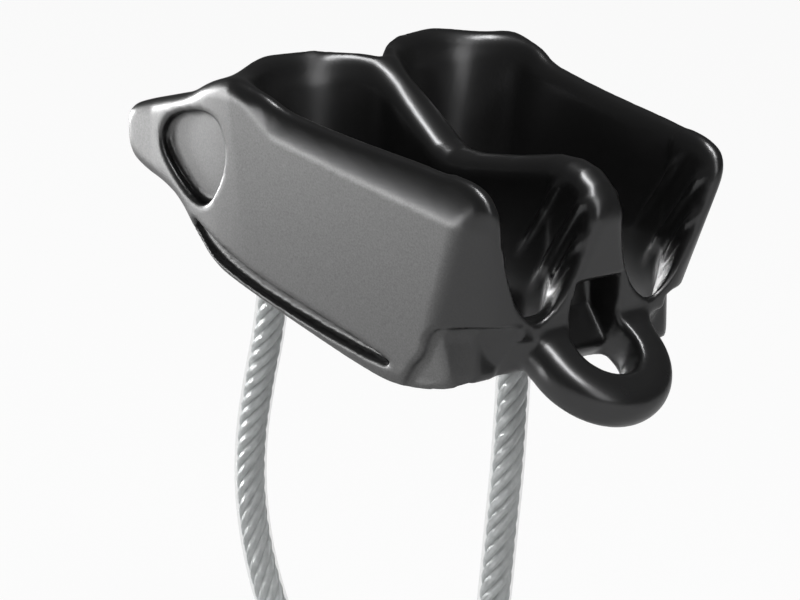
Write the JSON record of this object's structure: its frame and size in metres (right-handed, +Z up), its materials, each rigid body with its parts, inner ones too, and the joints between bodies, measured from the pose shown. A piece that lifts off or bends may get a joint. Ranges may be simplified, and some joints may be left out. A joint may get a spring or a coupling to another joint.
{
  "type": "guide mode belay device",
  "caption": "Tubular belay and abseil device for two ropes, with an anchor eye for guide mode, ribbed braking grooves, a release hoop and a wire keeper loop in a clear sheath.",
  "frame": {"origin": "middle of the anchor eye at the rear, level with the middle of the anchor bar", "axes": "+X from the anchor bar towards the release hoop, +Y to the device's left, +Z up out of the rope slots' upper mouths"},
  "size_m": [0.0739, 0.045, 0.0944],
  "materials": {
    "anodised_aluminium": "dark grey anodised, satin sides and polished rope paths",
    "galvanised_wire": "stranded",
    "clear_sheath": "clear, glossy",
    "stop_steel": "swaged"
  },
  "bodies": {
    "device": {"body": "anodised_aluminium"},
    "keeper": {"keeper_wire_rope": "galvanised_wire", "keeper_sheath": "clear_sheath", "keeper_stop_rear": "stop_steel", "keeper_stop_front": "stop_steel"}
  },
  "joints": [
    {"name": "keeper_swing", "type": "hinge", "parent": "device", "child": "keeper", "pos_m": [-0.0108, 0, -0.0012], "axis": [0.9375, 0, -0.3479], "range_deg": [-20, 20], "stiffness_Nm_per_rad": 0.01}
  ]
}
